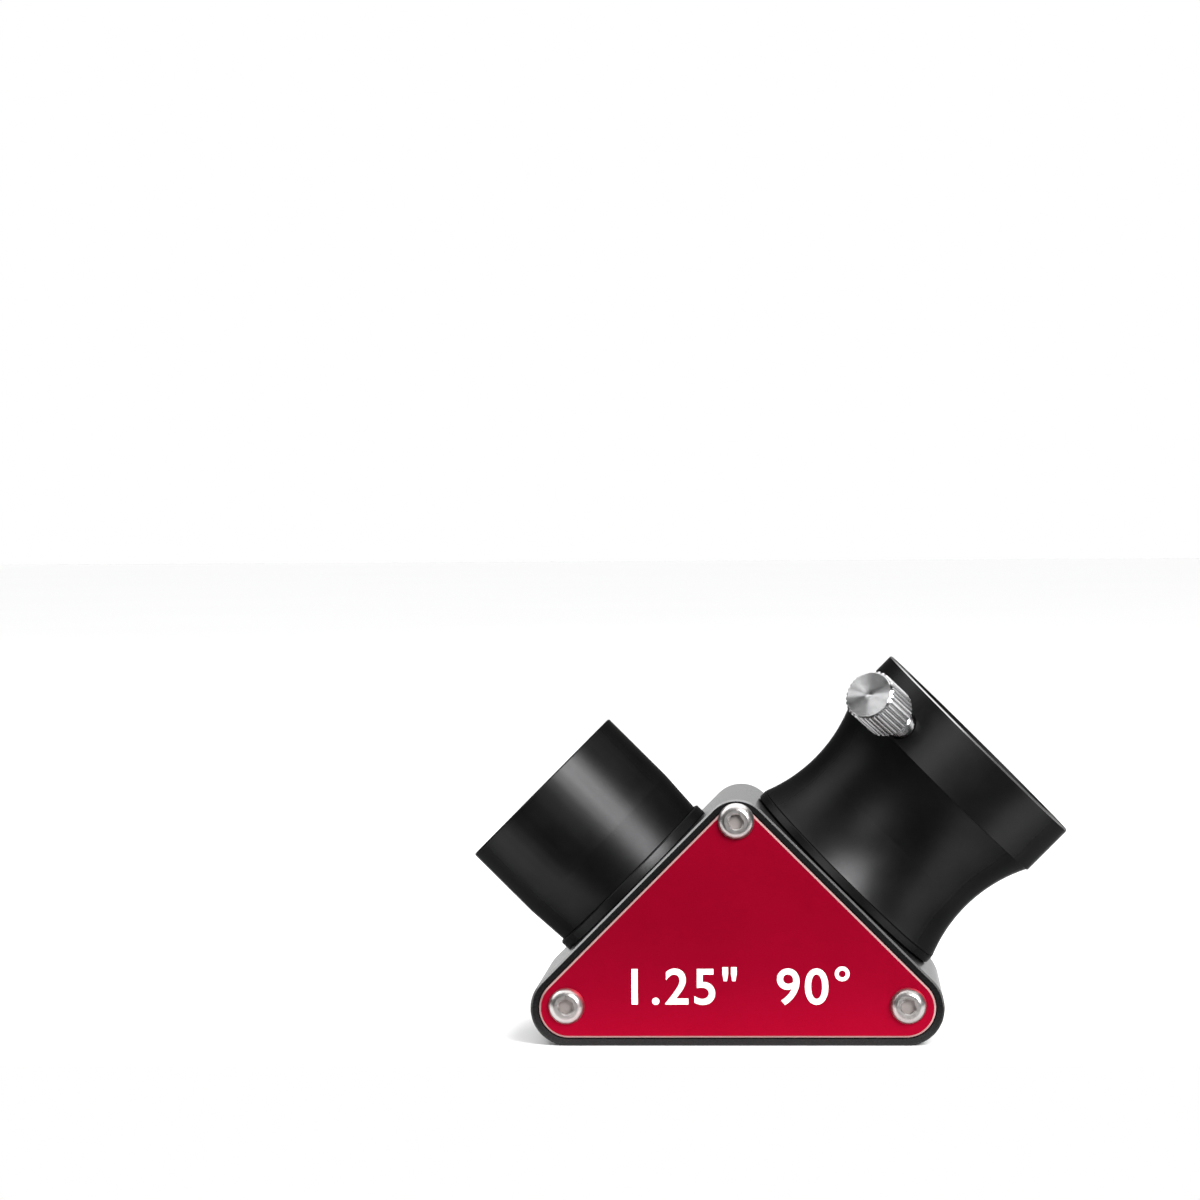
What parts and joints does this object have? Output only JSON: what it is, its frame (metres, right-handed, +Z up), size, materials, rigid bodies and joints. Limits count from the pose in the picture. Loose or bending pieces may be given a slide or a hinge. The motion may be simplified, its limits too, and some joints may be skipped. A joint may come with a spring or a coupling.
{
  "type": "star diagonal",
  "caption": "Mirror star diagonal: triangular body that turns the light path 90 degrees, with a plug-in nosepiece and a clamped eyepiece holder.",
  "frame": {"origin": "centre of the flat base, under the apex and under the point where the optical axes cross", "axes": "+Z up, +X towards the eyepiece holder, -Y towards the front side plate"},
  "size_m": [0.0979, 0.059, 0.0621],
  "materials": {
    "black_anodised": "satin",
    "red_anodised": "satin",
    "stainless": "polished",
    "chrome": "polished",
    "brass": "satin",
    "mirror_glass": "polished",
    "silicone": "matte"
  },
  "bodies": {
    "diagonal": {"housing": "black_anodised", "front_side_plate": "red_anodised", "rear_side_plate": "red_anodised", "front_plate_screws": "stainless", "rear_plate_screws": "stainless", "mirror": "mirror_glass", "mirror_adhesive_pads": "silicone", "mirror_carrier": "black_anodised", "mirror_carrier_screws": "stainless", "nosepiece_seat_ring": "black_anodised", "nosepiece_barrel": "black_anodised", "holder_seat_ring": "black_anodised", "eyepiece_holder": "black_anodised", "compression_ring": "brass"},
    "thumbscrew_1_stud": {"thumbscrew_1_stud": "chrome"},
    "thumbscrew_1_knob": {"thumbscrew_1_knob": "chrome"},
    "thumbscrew_2_stud": {"thumbscrew_2_stud": "chrome"},
    "thumbscrew_2_knob": {"thumbscrew_2_knob": "chrome"}
  },
  "joints": [
    {"name": "thumbscrew_1_advance", "type": "slide", "parent": "diagonal", "child": "thumbscrew_1_stud", "axis": [-0.4106, -0.8141, 0.4106], "range_m": [0, 0.0021]},
    {"name": "thumbscrew_1_turn", "type": "hinge", "parent": "thumbscrew_1_stud", "child": "thumbscrew_1_knob", "pos_m": [0.03522, 0, 0.04322], "axis": [-0.4106, -0.8141, 0.4106], "range_deg": [0, 1081]},
    {"name": "thumbscrew_2_advance", "type": "slide", "parent": "diagonal", "child": "thumbscrew_2_stud", "axis": [0.4106, 0.8141, -0.4106], "range_m": [0, 0.0021]},
    {"name": "thumbscrew_2_turn", "type": "hinge", "parent": "thumbscrew_2_stud", "child": "thumbscrew_2_knob", "pos_m": [0.03522, 0, 0.04322], "axis": [0.4106, 0.8141, -0.4106], "range_deg": [0, 1081]}
  ],
  "couplings": [
    {"joint": "thumbscrew_1_turn", "follows": "thumbscrew_1_advance", "rad_per_m": 8976},
    {"joint": "thumbscrew_2_turn", "follows": "thumbscrew_2_advance", "rad_per_m": 8976}
  ]
}
